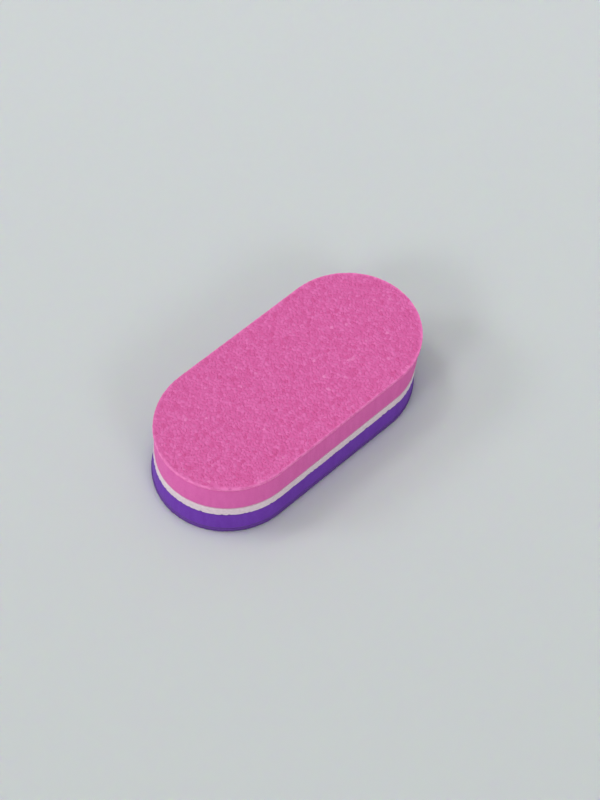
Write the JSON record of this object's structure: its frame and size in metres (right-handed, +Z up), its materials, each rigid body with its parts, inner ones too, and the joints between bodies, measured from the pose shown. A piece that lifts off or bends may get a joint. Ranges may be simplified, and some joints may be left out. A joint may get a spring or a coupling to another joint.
{
  "type": "nail buffer",
  "caption": "Small stadium-shaped double-sided nail buffer block: pink abrasive over pink foam, a thin white core board, and purple foam over purple abrasive.",
  "frame": {"origin": "centre of the bounding box of the whole block, on the bottom abrasive face that it rests on", "axes": "+X along the block's length, towards the end where the top face overhangs; +Y across its width; +Z up through the layers, from the purple face to the pink face"},
  "size_m": [0.0358, 0.0174, 0.008],
  "materials": {
    "pink_grit": "coarse pink abrasive grain set in a pink resin coat, matt with small glints",
    "pink_paper": "die-cut edge of a dyed abrasive backing paper",
    "pink_foam": "matt die-cut closed-cell EVA foam, pink",
    "clear_glue": "thin milky film of pressure-sensitive glue",
    "white_board": "off-white stiff core board, slightly torn cut edge",
    "purple_foam": "matt die-cut closed-cell EVA foam, purple",
    "purple_paper": "die-cut edge of a dyed abrasive backing paper",
    "purple_grit": "fine purple abrasive grain set in a purple resin coat"
  },
  "bodies": {
    "root": {"bottom_grit_coat": "purple_grit", "bottom_backing_sheet": "purple_paper", "bottom_glue_film": "clear_glue", "lower_foam_pad": "purple_foam", "lower_core_glue_film": "clear_glue", "core_board": "white_board", "upper_core_glue_film": "clear_glue", "upper_foam_pad": "pink_foam", "top_glue_film": "clear_glue", "top_backing_sheet": "pink_paper", "top_grit_coat": "pink_grit"}
  },
  "joints": []
}
